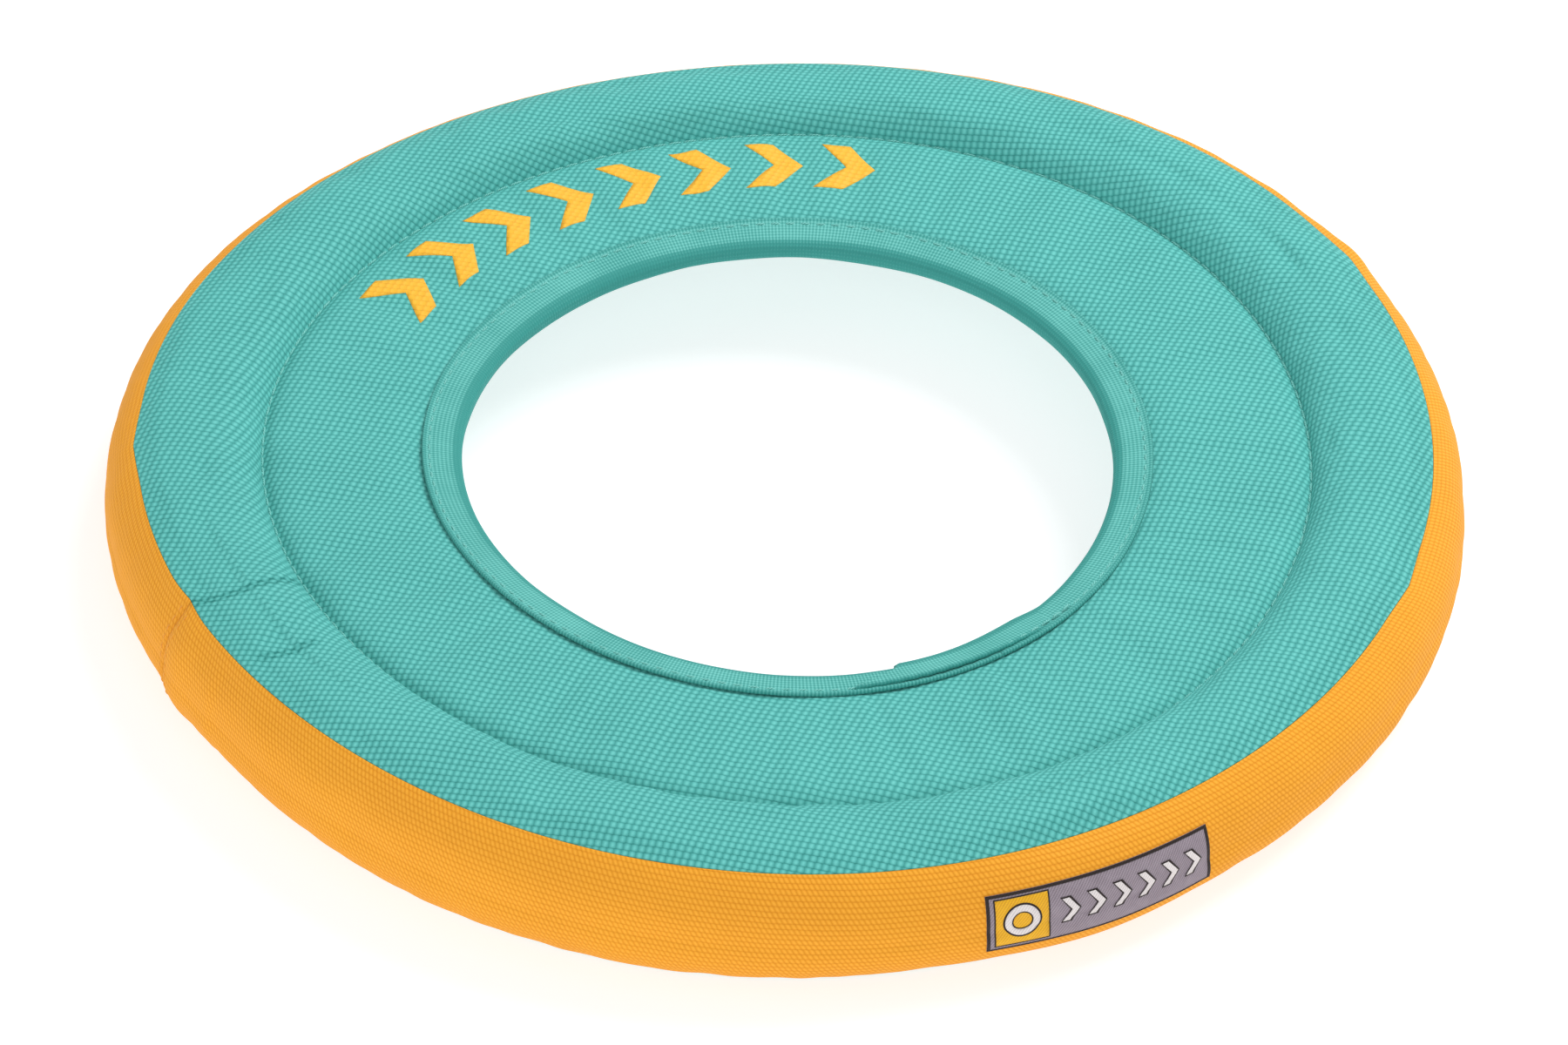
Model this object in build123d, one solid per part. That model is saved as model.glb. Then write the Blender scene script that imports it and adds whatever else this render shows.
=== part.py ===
from build123d import *
import os
from math import cos, radians, sin

# Soft flying ring: a foam tube and a thin foam web, sewn into a woven cover.
# Millimetres, +Z up. The origin is on the ring's axis, on the surface that the ring lies on.
# Every round piece is turned about Z from its half section, which is drawn in the XZ plane
# as points of (radius, height). Angles round the ring start at +X and grow towards +Y.

# Driving dimensions
OUTER_RADIUS = 140.0  # widest point of the side band
HOLE_RADIUS = 68.0  # bore inside the binding tape
CHANNEL_RADIUS = 109.5  # groove where the tube meets the web
CHANNEL_THREAD_RADIUS = 108.5
CHANNEL_THREAD_LIFT = 0.2  # above the cloth at the groove's own radius
BINDING_RADIUS = 76.6  # outer edge of the tape on each face of the web
FABRIC = 0.8  # coated woven polyester, one layer
TAPE = 0.9  # binding tape, one layer
THREAD = 0.22  # radius of the sewing thread
GAP = 0.05  # air between neighbouring layers

# Tube: the side band is an arc about TUBE_CENTRE, and its edges are turned in
SIDE_ARC = 15.6
TUBE_CENTRE = (OUTER_RADIUS - SIDE_ARC, 15.0)
SEAM_ANGLE = 56.0
SEAM_ALLOWANCE = 23.0
SEAM_LEAN = 1.8  # degrees from a panel's turned-in edge to the band's folded one
SEAM_STITCH_INSET = 5.0  # degrees from the seam to its stitching
CROWN = (120.4, 30.0)
FOOT_RADII = (117.5, 126.0)
INNER_CHEEK = (107.2, 11.0)  # steepest point of the tube under the web
CORE_RADIUS = 13.3
CORE_CENTRE = (122.8, 14.9)

# Web: two layers of fabric over a foam sheet, bowed about a level middle plane
WEB_MIDDLE = 23.5
WEB_BOW_RADIUS = 89.0
WEB_BOW = 2.5
WEB_AT_CHANNEL = 0.8
WEB_EDGE_RADIUS = 69.2
WEB_AT_EDGE = 0.5
FOAM_RADII = (74.0, 104.5)
FOAM_BOW = 1.9
FOAM_AT_EDGES = 0.9
BINDING_HALF = 2.85  # middle of the tape's leg above and below WEB_MIDDLE, outer edge
BINDING_HALF_AT_HOLE = 1.5
BINDING_STITCH_RADIUS = 75.2

# Where the strips are joined, as angles round the ring
CORE_JOINT = 208.0
CORE_JOINT_GAP = 0.3
JOINT_TAPE = 0.25
JOINT_TAPE_SWEEP = 9.0
BAND_JOINT = 204.0
BAND_STITCH_ROWS = (-0.55, 0.55)
BAND_STITCH_ANGLES = range(-48, 49, 12)
STITCH_LENGTH = 2.4
TAIL_START, TAIL_SWEEP = -72.0, 31.0  # the binding tape runs twice here

# Label on the side band, and the print on it and on the web
LABEL_START, LABEL_SWEEP = -73.7, 20.4
LABEL_LOW, LABEL_HIGH = -29.0, 27.0
LABEL = 0.35
PRINT = 0.12
LABEL_BORDER = 2.2  # degrees of the tube's section
LABEL_BORDER_SWEEP = 0.35
EMBLEM_SWEEP = 4.6
EMBLEM_RING = (2.2, 3.6)
EMBLEM_MARGIN = 1.0  # degrees of the tube's section
EMBLEM_MARGIN_SWEEP = 0.1
LABEL_CHEVRONS = 6
LABEL_CHEVRON_FIRST, LABEL_CHEVRON_PITCH = LABEL_START + 7.1, 2.3
LABEL_CHEVRON_SIZE = (3.6, 5.6, 1.5)  # length along the ring, height, stroke
WEB_CHEVRONS = 8
WEB_CHEVRON_FIRST, WEB_CHEVRON_PITCH = 148.0, -9.3
WEB_CHEVRON_RADIUS = 95.7
WEB_CHEVRON_SIZE = (12.4, 15.5, 6.2)  # length along the ring, height, stroke
CUTTER_DEPTH = 10.0  # reach of the cutters that shape the print


def around(centre, radius, angle):
    """Point of the section at a distance and an angle from an arc's centre."""
    return (centre[0] + radius * cos(radians(angle)), centre[1] + radius * sin(radians(angle)))


def fabric(path, thickness=FABRIC):
    """Face of one layer of cloth along its middle line."""
    return Plane.XZ * trace(path, thickness)


def turned(face, start=0.0, sweep=360.0):
    """Solid of a half section, turned about Z from one angle round the ring."""
    return Rot(0, 0, start) * revolve(face, Axis.Z, sweep)


def thread(radius, height, start=0.0, sweep=360.0):
    """Sewing thread that lies along the ring."""
    return turned(Plane.XZ * Pos(radius, height) * Circle(THREAD), start, sweep)


def group(name, pieces):
    """One node of several separate solids."""
    node = Compound(children=list(pieces))
    node.label = name
    return node


def panel(side):
    """Top (side 1) or bottom (side -1) of the cover, from its turned-in edge to the hole."""
    seam = side * (SEAM_ANGLE + SEAM_LEAN)
    skin = SIDE_ARC - FABRIC / 2
    turned_in = SIDE_ARC - 2 * FABRIC - GAP - FABRIC / 2
    edge = (WEB_EDGE_RADIUS, WEB_MIDDLE + side * WEB_AT_EDGE)
    bow = (WEB_BOW_RADIUS, WEB_MIDDLE + side * WEB_BOW)
    channel = (CHANNEL_RADIUS, WEB_MIDDLE + side * WEB_AT_CHANNEL)
    corner = around(TUBE_CENTRE, skin, seam)
    path = Curve() + ThreePointArc(edge, bow, channel)
    if side > 0:
        path += ThreePointArc(channel, CROWN, corner)
    else:
        inner_foot = (FOOT_RADII[0], FABRIC / 2)
        outer_foot = (FOOT_RADII[1], FABRIC / 2)
        path += TangentArc(INNER_CHEEK, channel, tangent=(0, 1))
        path += TangentArc(inner_foot, INNER_CHEEK, tangent=(-1, 0))
        path += Line(inner_foot, outer_foot)
        path += TangentArc(outer_foot, corner, tangent=(1, 0))
    path += Line(corner, around(TUBE_CENTRE, turned_in, seam))
    path += CenterArc(TUBE_CENTRE, turned_in, seam, -side * SEAM_ALLOWANCE)
    return turned(fabric(path))


def side_band():
    """Strip round the tube, with both edges folded in to double thickness."""
    skin = SIDE_ARC - FABRIC / 2
    face = fabric(CenterArc(TUBE_CENTRE, skin, -SEAM_ANGLE, 2 * SEAM_ANGLE))
    for side in (-1, 1):
        fold = CenterArc(TUBE_CENTRE, skin - FABRIC, side * SEAM_ANGLE, -side * SEAM_ALLOWANCE)
        face += fabric(fold)
    return turned(face)


def core_ring():
    """Foam rod bent to a ring, its ends meeting at the joint."""
    face = Plane.XZ * Pos(*CORE_CENTRE) * Circle(CORE_RADIUS)
    return turned(face, CORE_JOINT + CORE_JOINT_GAP / 2, 360 - CORE_JOINT_GAP)


def core_joint_tape():
    """Tape wrapped round the rod where its ends meet."""
    inner = CORE_RADIUS + GAP
    face = Plane.XZ * Pos(*CORE_CENTRE) * (Circle(inner + JOINT_TAPE) - Circle(inner))
    return turned(face, CORE_JOINT - JOINT_TAPE_SWEEP / 2, JOINT_TAPE_SWEEP)


def web_foam():
    """Thin foam sheet inside the web."""
    inner, outer = FOAM_RADII
    edges = []
    for side in (-1, 1):
        start = (inner, WEB_MIDDLE + side * FOAM_AT_EDGES)
        bow = (WEB_BOW_RADIUS, WEB_MIDDLE + side * FOAM_BOW)
        end = (outer, WEB_MIDDLE + side * FOAM_AT_EDGES)
        edges.append(ThreePointArc(start, bow, end))
    edges.append(Line(edges[0] @ 0, edges[1] @ 0))
    edges.append(Line(edges[0] @ 1, edges[1] @ 1))
    return turned(Plane.XZ * make_face(Curve() + edges))


def binding_leg(side, lift=0.0):
    """Points of the tape's leg on one face of the web, from its edge to the hole."""
    outer = (BINDING_RADIUS, WEB_MIDDLE + side * (BINDING_HALF + lift))
    inner = (HOLE_RADIUS + TAPE / 2, WEB_MIDDLE + side * (BINDING_HALF_AT_HOLE + lift))
    return outer, inner


def inner_binding():
    """Tape folded over the edge of the web. Its tail laps over its start on both faces."""
    top_outer, top_inner = binding_leg(1)
    bottom_outer, bottom_inner = binding_leg(-1)
    binding = turned(fabric(Polyline(top_outer, top_inner, bottom_inner, bottom_outer), TAPE))
    for side in (-1, 1):
        tail = fabric(Line(*binding_leg(side, TAPE)), TAPE)
        binding += turned(tail, TAIL_START, TAIL_SWEEP)
    return binding


def channel_thread():
    """Needle thread in the groove above the web and bobbin thread in the one below it."""
    lift = WEB_AT_CHANNEL + FABRIC / 2 + THREAD + CHANNEL_THREAD_LIFT
    rings = [thread(CHANNEL_THREAD_RADIUS, WEB_MIDDLE + side * lift) for side in (-1, 1)]
    return group("channel_thread", rings)


def binding_thread():
    """Edge stitching of the tape on both faces. It rises over the tape's tail."""
    single = (0, TAIL_START + TAIL_SWEEP, 360 - TAIL_SWEEP)
    double = (TAPE, TAIL_START, TAIL_SWEEP)
    pieces = []
    for side in (-1, 1):
        for lift, start, sweep in (single, double):
            outer, inner = binding_leg(side, lift)
            share = (BINDING_STITCH_RADIUS - inner[0]) / (outer[0] - inner[0])
            middle = inner[1] + share * (outer[1] - inner[1])
            height = middle + side * (TAPE / 2 + THREAD + GAP)
            pieces.append(thread(BINDING_STITCH_RADIUS, height, start, sweep))
    return group("binding_thread", pieces)


def seam_thread(side):
    """Hidden stitching through the turned-in edges of a panel and the side band."""
    inside = SIDE_ARC - 3 * FABRIC - 2 * GAP - THREAD
    return thread(*around(TUBE_CENTRE, inside, side * (SEAM_ANGLE - SEAM_STITCH_INSET)))


def band_joint_thread():
    """Two rows of stitches beside the joint in the side band."""
    pieces = []
    for row in BAND_STITCH_ROWS:
        for angle in BAND_STITCH_ANGLES:
            radius, height = around(TUBE_CENTRE, SIDE_ARC + THREAD + GAP, angle)
            stitch = Pos(radius, 0, height) * Rot(0, -angle, 0) * Cylinder(THREAD, STITCH_LENGTH)
            pieces.append(Rot(0, 0, BAND_JOINT + row) * stitch)
    return group("band_joint_thread", pieces)


def band_patch(inner, outer, low, high, start, sweep):
    """Thin patch that follows the side band, between two angles of its section."""
    face = Plane.XZ * make_face(
        Curve()
        + [
            CenterArc(TUBE_CENTRE, inner, low, high - low),
            CenterArc(TUBE_CENTRE, outer, low, high - low),
            Line(around(TUBE_CENTRE, inner, low), around(TUBE_CENTRE, outer, low)),
            Line(around(TUBE_CENTRE, inner, high), around(TUBE_CENTRE, outer, high)),
        ]
    )
    return turned(face, start, sweep)


def label_place(angle, section_angle):
    """Place on the label: X along the ring, Y up the band, Z outwards."""
    radius, height = around(TUBE_CENTRE, SIDE_ARC, section_angle)
    outwards = (cos(radians(section_angle)), 0, sin(radians(section_angle)))
    level = Plane((radius, 0, height), x_dir=(0, 1, 0), z_dir=outwards)
    return Rot(0, 0, angle) * level.location


def side_label():
    """Cloth label on the outside of the band."""
    inner = SIDE_ARC + GAP
    return band_patch(inner, inner + LABEL, LABEL_LOW, LABEL_HIGH, LABEL_START, LABEL_SWEEP)


def label_layer(low, high, start, sweep):
    """One layer of weave or print on the label."""
    inner = SIDE_ARC + GAP + LABEL
    return band_patch(inner, inner + PRINT, low, high, start, sweep)


def label_border():
    """Dark line round the label and between its two fields."""
    frame = label_layer(LABEL_LOW, LABEL_HIGH, LABEL_START, LABEL_SWEEP)
    low, high = LABEL_LOW + LABEL_BORDER, LABEL_HIGH - LABEL_BORDER
    first = LABEL_START + LABEL_BORDER_SWEEP
    second = first + EMBLEM_SWEEP + LABEL_BORDER_SWEEP
    second_sweep = LABEL_START + LABEL_SWEEP - LABEL_BORDER_SWEEP - second
    for start, sweep in ((first, EMBLEM_SWEEP), (second, second_sweep)):
        frame -= label_layer(low, high, start, sweep)
    return frame


def label_emblem():
    """Square field at one end of the label, with a plain ring left open in it."""
    margin = LABEL_BORDER + EMBLEM_MARGIN
    low, high = LABEL_LOW + margin, LABEL_HIGH - margin
    start = LABEL_START + LABEL_BORDER_SWEEP + EMBLEM_MARGIN_SWEEP
    sweep = EMBLEM_SWEEP - 2 * EMBLEM_MARGIN_SWEEP
    field = label_layer(low, high, start, sweep)
    place = label_place(start + sweep / 2, (low + high) / 2)
    inner, outer = EMBLEM_RING
    icon = place * (Cylinder(outer, CUTTER_DEPTH) - Cylinder(inner, CUTTER_DEPTH))
    return field - icon


def chevron(length, height, stroke):
    """Flat arrowhead that points along +X."""
    half = height / 2
    tip = length / 2
    back = tip - stroke
    notch = -length / 2
    upper = [(notch, half), (notch + stroke, half), (tip, 0)]
    lower = [(notch + stroke, -half), (notch, -half), (back, 0)]
    points = upper + lower
    return make_face(Polyline(*points, close=True))


def label_chevrons():
    """Row of small arrowheads along the grey field."""
    middle = (LABEL_LOW + LABEL_HIGH) / 2
    flat = extrude(chevron(*LABEL_CHEVRON_SIZE), CUTTER_DEPTH, both=True)
    row = []
    for index in range(LABEL_CHEVRONS):
        angle = LABEL_CHEVRON_FIRST + index * LABEL_CHEVRON_PITCH
        start = angle - LABEL_CHEVRON_PITCH / 2
        layer = label_layer(LABEL_LOW, LABEL_HIGH, start, LABEL_CHEVRON_PITCH)
        row.append(layer & label_place(angle, middle) * flat)
    return group("label_chevrons", row)


def web_print():
    """Arc of arrowheads printed on the top of the web."""
    bow = ThreePointArc(
        (WEB_EDGE_RADIUS, WEB_MIDDLE + WEB_AT_EDGE),
        (WEB_BOW_RADIUS, WEB_MIDDLE + WEB_BOW),
        (CHANNEL_RADIUS, WEB_MIDDLE + WEB_AT_CHANNEL),
    )
    ink = turned(Pos(0, 0, FABRIC / 2 + GAP + PRINT / 2) * fabric(bow, PRINT))
    row = []
    for index in range(WEB_CHEVRONS):
        turn = Rot(0, 0, WEB_CHEVRON_FIRST + index * WEB_CHEVRON_PITCH)
        place = turn * Pos(WEB_CHEVRON_RADIUS, 0, WEB_MIDDLE) * Rot(0, 0, -90)
        row.append(ink & place * extrude(chevron(*WEB_CHEVRON_SIZE), CUTTER_DEPTH))
    return group("web_print", row)


def main():
    """Writes every node of the ring."""
    nodes = {
        "top_panel": panel(1),
        "bottom_panel": panel(-1),
        "side_band": side_band(),
        "core_ring": core_ring(),
        "core_joint_tape": core_joint_tape(),
        "web_foam": web_foam(),
        "inner_binding": inner_binding(),
        "channel_thread": channel_thread(),
        "binding_thread": binding_thread(),
        "top_seam_thread": seam_thread(1),
        "bottom_seam_thread": seam_thread(-1),
        "band_joint_thread": band_joint_thread(),
        "side_label": side_label(),
        "label_border": label_border(),
        "label_emblem": label_emblem(),
        "label_chevrons": label_chevrons(),
        "web_print": web_print(),
    }
    os.makedirs("parts", exist_ok=True)
    for name, node in nodes.items():
        export_step(node, f"parts/{name}.step")


main()
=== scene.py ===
"""Looks of the soft flying ring: woven cover, bound hole, stitching, label and print.

Sizes are in millimetres, and MM turns them into Blender's metres at the end. Sections are
points of (radius, height), and angles round the ring start at +X and grow towards +Y.
"""
from math import cos, pi, radians, sin
import bpy
import numpy as np
from mathutils import Matrix, Vector, noise


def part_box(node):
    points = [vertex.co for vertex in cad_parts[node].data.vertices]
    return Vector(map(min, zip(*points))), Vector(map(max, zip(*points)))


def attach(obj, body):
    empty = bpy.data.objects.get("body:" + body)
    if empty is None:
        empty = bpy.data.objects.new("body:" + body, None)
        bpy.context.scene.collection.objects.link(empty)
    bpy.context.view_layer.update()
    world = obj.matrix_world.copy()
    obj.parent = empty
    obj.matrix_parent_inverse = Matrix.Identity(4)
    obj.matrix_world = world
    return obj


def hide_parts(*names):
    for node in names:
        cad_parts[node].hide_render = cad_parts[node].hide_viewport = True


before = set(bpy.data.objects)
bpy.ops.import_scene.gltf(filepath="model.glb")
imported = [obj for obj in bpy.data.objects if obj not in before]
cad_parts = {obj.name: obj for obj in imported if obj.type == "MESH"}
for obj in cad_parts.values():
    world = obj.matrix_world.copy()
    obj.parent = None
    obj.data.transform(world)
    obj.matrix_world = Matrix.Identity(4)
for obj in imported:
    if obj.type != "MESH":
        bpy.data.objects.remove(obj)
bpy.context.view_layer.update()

MM = 0.001
OUTER_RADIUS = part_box("side_band")[1][0] / MM
BINDING_RADIUS = 76.6
CHANNEL_RADIUS = 109.5
FABRIC = 0.6
TAPE = 0.8

# Section of the tube and the web, outer faces of the cloth
SIDE_ARC = 15.6
TUBE_CENTRE = (OUTER_RADIUS - SIDE_ARC, 15.0)
SEAM_ANGLE = 56.0
SEAM_DEPTH = 1.9
SEAM_LEAN = 0.07
WEB_MIDDLE = 23.5
CHANNEL_HALF = 0.55
SHOULDER = (112.3, 28.2)
CROWN = (119.6, 30.5)
BROW = (127.4, 30.1)
WEB_HALF = (
    (70.4, 0.65), (73.0, 1.35), (76.6, 2.1), (82.0, 2.6), (94.0, 2.85), (104.4, 2.65), (107.7, 1.95),
)
WEB_DROOP = 0.7
CHEEK = (107.0, 11.0)
FOOT = (117.5, 126.0)
CLOTH_ROUNDING = 0.25
WEB_ROUNDING = 1.3
BAND_ROUNDING = 0.12
TAPE_ROUNDING = 0.9

# Mesh sizes
TURN_STEPS = 720
PATH_STEP = 1.2
FINEST_TURN = 14.0
SIM_TURN_STEPS = 360
SIM_PATH_STEP = 2.2

# Cloth simulation
SIM_FRAMES = 20
SIM_PRESSURE = 4.0
SIM_EXTRA_CLOTH = -0.02
PUCKER_CAP = 0.45

# Joints of the strips, as angles round the ring
BAND_JOINT = 204.6
TAIL_START, TAIL_END = -72.0, -41.0

# Marks that handling left: creases across the tube as three (radius, angle) places and a
# strength for their dent and their painted shade, swollen places of the band as (angle, half
# width, height), and folds that pull the top seam as (angle, half width, outwards, upwards)
CREASES = (
    ((132.4, 204.4), (119.6, 206.1), (110.6, 205.4), 0.6),
    ((129.6, 214.6), (124.0, 215.7), (118.0, 216.2), 0.55),
)
CORE_JOINT = (204.4, 213.0)
BULGES = (
    (50.0, 40.0, 0.35), (150.0, 26.0, 0.2), (30.0, 6.0, 0.7), (211.0, 32.0, -0.9),
    (207.0, 3.0, 0.5), (297.0, 13.0, 0.95),
)
KINKS = (
    (181.0, 6.0, 0.9, -0.5), (27.8, 5.0, 0.9, -0.3), (340.5, 5.0, 0.7, -0.3),
    (204.0, 3.5, -0.5, 0.4), (120.0, 34.0, 2.3, -1.55),
)

# Label and print
LABEL_START, LABEL_END = -73.7, -53.3
LABEL_LOW, LABEL_HIGH = -18.4, 28.8
PRINT_FIRST, PRINT_PITCH, PRINT_COUNT = 148.0, -9.3, 8
PRINT_RADIUS = 95.7
PRINT_LENGTH, PRINT_HEIGHT, PRINT_STROKE = 12.4, 15.5, 6.2

# Camera
CAMERA_DISTANCE = 1604.0
CAMERA_ELEVATION = 39.0
CAMERA_ROLL = 0.5
CAMERA_LENS = 178.0
RING_CENTRE = (0.0, 0.0, 28.0)
AIM_RIGHT, AIM_UP = -0.8, -17.2


# ---------------------------------------------------------------- section curves

def polar(centre, radius, angle):
    """Point at a distance and an angle from a centre of the section."""
    return (centre[0] + radius * cos(radians(angle)), centre[1] + radius * sin(radians(angle)))


def on_plan(places):
    """Plan points of (radius, angle) places."""
    return [(r * cos(radians(a)), r * sin(radians(a))) for r, a in places]


def circle_centre(a, b, c):
    """Centre of the circle through three points, all as complex numbers."""
    w = (c - a) / (b - a)
    return (b - a) * (w - abs(w) ** 2) / (2j * w.imag) + a


def arc_through(first, middle, last, count=24):
    """Points along the circle through three points, from the first to the last."""
    a, b, c = (complex(*p) for p in (first, middle, last))
    centre = circle_centre(a, b, c)
    start, bend, end = (np.angle(p - centre) for p in (a, b, c))
    full = (end - start) % (2 * pi)
    if (bend - start) % (2 * pi) > full:
        full -= 2 * pi
    points = centre + abs(a - centre) * np.exp(1j * (start + full * np.linspace(0, 1, count)))
    return np.column_stack([points.real, points.imag])


def even(path, step, finest_turn=None):
    """The same path with evenly spaced points, or closer ones where it bends."""
    legs = np.diff(path, axis=0)
    effort = np.linalg.norm(legs, axis=1) / step
    if finest_turn is not None:
        heading = np.unwrap(np.arctan2(legs[:, 1], legs[:, 0]))
        effort[1:] += np.abs(np.diff(heading)) / radians(finest_turn)
    reach = np.concatenate([[0], np.cumsum(effort)])
    at = np.linspace(0, reach[-1], int(round(reach[-1])) + 1)
    return np.column_stack([np.interp(at, reach, path[:, k]) for k in (0, 1)])


def rounded(path, step, radius=CLOTH_ROUNDING, finest_turn=None):
    """Path with its corners eased."""
    fine = even(path, 0.08)
    reach = int(radius / 0.08)
    padded = np.vstack([
        2 * fine[0] - fine[reach:0:-1],
        fine,
        2 * fine[-1] - fine[-2:-reach - 2:-1],
    ])
    window = np.ones(2 * reach + 1) / (2 * reach + 1)
    eased = np.column_stack([np.convolve(padded[:, k], window, "valid") for k in (0, 1)])
    return even(eased, step, finest_turn)


def seam_end(side, lean):
    """Points where a cloth turns in at a seam of the side band, lean degrees to its own side."""
    angle = side * (SEAM_ANGLE + lean)
    return polar(TUBE_CENTRE, SIDE_ARC, angle), polar(TUBE_CENTRE, SIDE_ARC - SEAM_DEPTH, angle)


def droop(radius):
    """How far the web hangs towards the hole, where nothing holds it up."""
    return WEB_DROOP * ease((84.0 - radius) / 15.0)


def web_face(side):
    """Outer face of the web's cloth, from under the binding to the channel."""
    channel = (CHANNEL_RADIUS, CHANNEL_HALF)
    face = rounded(np.array([*WEB_HALF, channel]), 0.3, WEB_ROUNDING)
    return np.column_stack([face[:, 0], WEB_MIDDLE + side * face[:, 1] - droop(face[:, 0])])


def top_path(step, finest_turn=None):
    """Outer face of the top panel, from under the binding to the seam."""
    seam, inside = seam_end(1, SEAM_LEAN)
    channel = (CHANNEL_RADIUS, WEB_MIDDLE + CHANNEL_HALF)
    tube = np.vstack([arc_through(channel, SHOULDER, CROWN), arc_through(CROWN, BROW, seam)[1:]])
    path = np.vstack([web_face(1), tube[1:], [inside]])
    return rounded(path, step, CLOTH_ROUNDING, finest_turn)


def bottom_path(step, finest_turn=None):
    """Outer face of the bottom panel, from the seam to under the binding."""
    seam, inside = seam_end(-1, SEAM_LEAN)
    channel = (CHANNEL_RADIUS, WEB_MIDDLE - CHANNEL_HALF)
    foot = arc_through(seam, ((seam[0] + FOOT[1]) / 2 + 0.4, 0.75), (FOOT[1], 0.0), 8)
    cheek = arc_through((FOOT[0], 0.0), (110.2, 3.2), CHEEK, 12)
    side = arc_through(CHEEK, (107.7, 17.0), channel, 12)
    web = web_face(-1)[::-1]
    path = np.vstack([[inside], foot, cheek, side[1:], web[1:]])
    return rounded(path, step, CLOTH_ROUNDING, finest_turn)


def band_path(step, finest_turn=None):
    """Outer face of the side band, from the top seam to the bottom one."""
    top_seam, top_inside = seam_end(1, -SEAM_LEAN)
    low_seam, low_inside = seam_end(-1, -SEAM_LEAN)
    upper = arc_through(top_seam, (OUTER_RADIUS - 1.3, 21.5), (OUTER_RADIUS, 14.5))
    lower = arc_through((OUTER_RADIUS, 14.5), (OUTER_RADIUS - 1.1, 6.4), low_seam)
    path = np.vstack([[top_inside], upper, lower[1:], [low_inside]])
    return rounded(path, step, BAND_ROUNDING, finest_turn)


def binding_path(step, lift=0.0, edge=BINDING_RADIUS):
    """Outer face of the tape over the edge of the hole, from its lower edge to its upper one."""
    half = np.array([
        (68.5 - lift, 0.0), (68.6 - lift, 1.3 + lift), (70.2, 2.35 + lift), (73.2, 2.75 + lift),
        (edge, 3.1 + lift),
    ])
    level = WEB_MIDDLE - droop(half[:, 0])
    upper = np.column_stack([half[:, 0], level + half[:, 1]])
    lower = np.column_stack([half[:, 0], level - half[:, 1]])
    return rounded(np.vstack([lower[:0:-1], upper]), step, TAPE_ROUNDING)


# ---------------------------------------------------------------- shape round the ring

def waves(angle, terms):
    """Sum of (harmonic, cosine, sine) terms round the ring."""
    return sum(c * np.cos(k * angle) + s * np.sin(k * angle) for k, c, s in terms)


def ease(x):
    """Smooth step from 0 to 1."""
    x = np.clip(x, 0, 1)
    return x * x * (3 - 2 * x)


def bump(x, width):
    """Smooth hump of height 1, from -width to width."""
    return ease(1 - np.abs(x) / width)


def apart(angle, place):
    """Signed degrees from a place round the ring to each angle, which is in radians."""
    return (np.degrees(angle) - place + 180) % 360 - 180


OUT_OF_ROUND = ((2, 0.75, 0.1), (3, -0.8, 1.1), (4, 0.2, -0.6))
INNER_OUT_OF_ROUND = ((2, -1.6, -0.4), (3, 0.15, -0.35))
WARP = ((2, 0.0, 0.75), (3, 0.7, 0.0))
SEAM_PLACE = polar(TUBE_CENTRE, SIDE_ARC, SEAM_ANGLE)


def kinks(angle, radius, height):
    """Folds that pull the top seam out or in at a few places, as (radial, vertical) moves."""
    near = bump(np.hypot(radius - SEAM_PLACE[0], height - SEAM_PLACE[1]), 9.0)
    out, up = 0, 0
    for place, width, outwards, upwards in KINKS:
        here = near * (1 - np.minimum(np.abs(apart(angle, place)) / width, 1)) ** 1.4
        out, up = out + outwards * here, up + upwards * here
    return out, up


def settled(angle, points):
    """Section points moved to where the soft ring lies: out of round and slightly warped."""
    radius, height = points[..., 0], points[..., 1]
    inner = ease((122 - radius) / 12)
    shift = waves(angle, OUT_OF_ROUND) * radius / OUTER_RADIUS
    shift = shift + inner * waves(angle, INNER_OUT_OF_ROUND)
    lift = waves(angle, WARP) * ease(height / 22)
    out, up = kinks(angle, radius, height)
    radius, height = radius + shift + out, height + lift + up
    x, y = radius * np.cos(angle), radius * np.sin(angle)
    return np.stack([x, y, height], axis=-1)


def normals_of(grid):
    """Unit normals of a grid that closes round its first axis."""
    around = np.roll(grid, -1, axis=0) - np.roll(grid, 1, axis=0)
    along = np.gradient(grid, axis=1)
    normal = np.cross(along, around)
    return normal / np.linalg.norm(normal, axis=-1, keepdims=True)


def path_lengths(path):
    """Distance along a path to each of its points."""
    return np.concatenate([[0], np.cumsum(np.linalg.norm(np.diff(path, axis=0), axis=1))])


def cut_reach(radius):
    """Distance from the middle of the flat top panel to a place on it at a radius."""
    path = top_path(PATH_STEP)
    return WEB_HALF[0][0] + float(np.interp(radius, path[:, 0], path_lengths(path)))


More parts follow.
